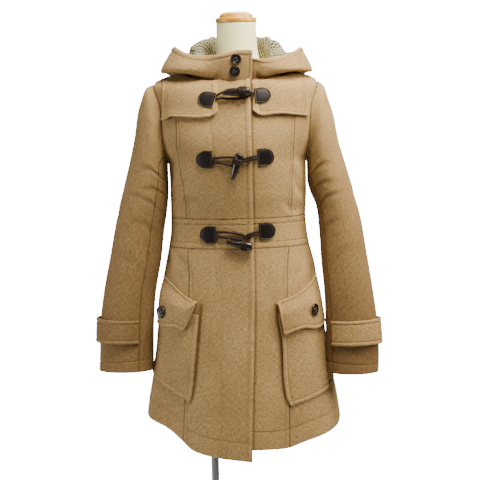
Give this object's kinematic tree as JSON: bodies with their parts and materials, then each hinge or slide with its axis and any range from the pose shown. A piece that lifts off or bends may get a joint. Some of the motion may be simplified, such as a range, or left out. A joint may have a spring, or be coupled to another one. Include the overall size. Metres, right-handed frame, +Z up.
{
  "type": "hooded wool duffle coat on a limbless dress form with a stand",
  "caption": "Knee-length hooded duffle coat in camel wool with yokes, cuff straps, patch pockets and horn toggles, worn by a dress form on an off-centre pole stand.",
  "frame": {"origin": "middle of the underside of the stand's base plate", "axes": "+Z up, -Y towards the viewer who faces the coat's front, +X towards the wearer's left"},
  "size_m": [0.6447, 0.3831, 1.4961],
  "materials": {
    "wool": "camel melton wool with a short nap",
    "lining": "woven cotton in a small check",
    "leather": "dark brown, lightly polished",
    "horn": "dark streaked horn imitation, polished",
    "cord": "round dark brown leather cord",
    "form": "cream jersey cover",
    "wood": "clear varnished",
    "steel": "satin dark grey"
  },
  "bodies": {
    "root": {"bodice_front_right": "wool", "bodice_front_left": "wool", "bodice_side_front_right": "wool", "bodice_side_front_left": "wool", "bodice_side_back_right": "wool", "bodice_side_back_left": "wool", "bodice_back": "wool", "waist_front_right": "wool", "waist_front_left": "wool", "waist_back": "wool", "skirt_front_right": "wool", "skirt_front_left": "wool", "skirt_side_front_right": "wool", "skirt_side_back_right": "wool", "skirt_side_front_left": "wool", "skirt_side_back_left": "wool", "skirt_back": "wool", "upper_sleeve_right": "wool", "under_sleeve_right": "wool", "upper_sleeve_left": "wool", "under_sleeve_left": "wool", "cuff_strap_right": "wool", "cuff_strap_left": "wool", "hood_right": "wool", "hood_left": "wool", "hood_centre": "wool", "yoke_front_right": "wool", "yoke_front_left": "wool", "yoke_back": "wool", "pocket_right": "wool", "pocket_flap_right": "wool", "pocket_left": "wool", "pocket_flap_left": "wool", "hood_lining_right": "lining", "hood_lining_left": "lining", "patch_1_right": "leather", "patch_1_left": "leather", "patch_2_right": "leather", "patch_2_left": "leather", "patch_3_right": "leather", "patch_3_left": "leather", "hood_button_1": "horn", "hood_button_2": "horn", "pocket_button_right": "horn", "pocket_button_left": "horn", "toggle_1": "horn", "toggle_2": "horn", "toggle_3": "horn", "loop_cord_1": "cord", "toggle_cord_1": "cord", "loop_cord_2": "cord", "toggle_cord_2": "cord", "loop_cord_3": "cord", "toggle_cord_3": "cord", "form_torso": "form", "form_neck_cap": "wood", "stand_pole": "steel", "stand_base": "steel"}
  },
  "joints": []
}
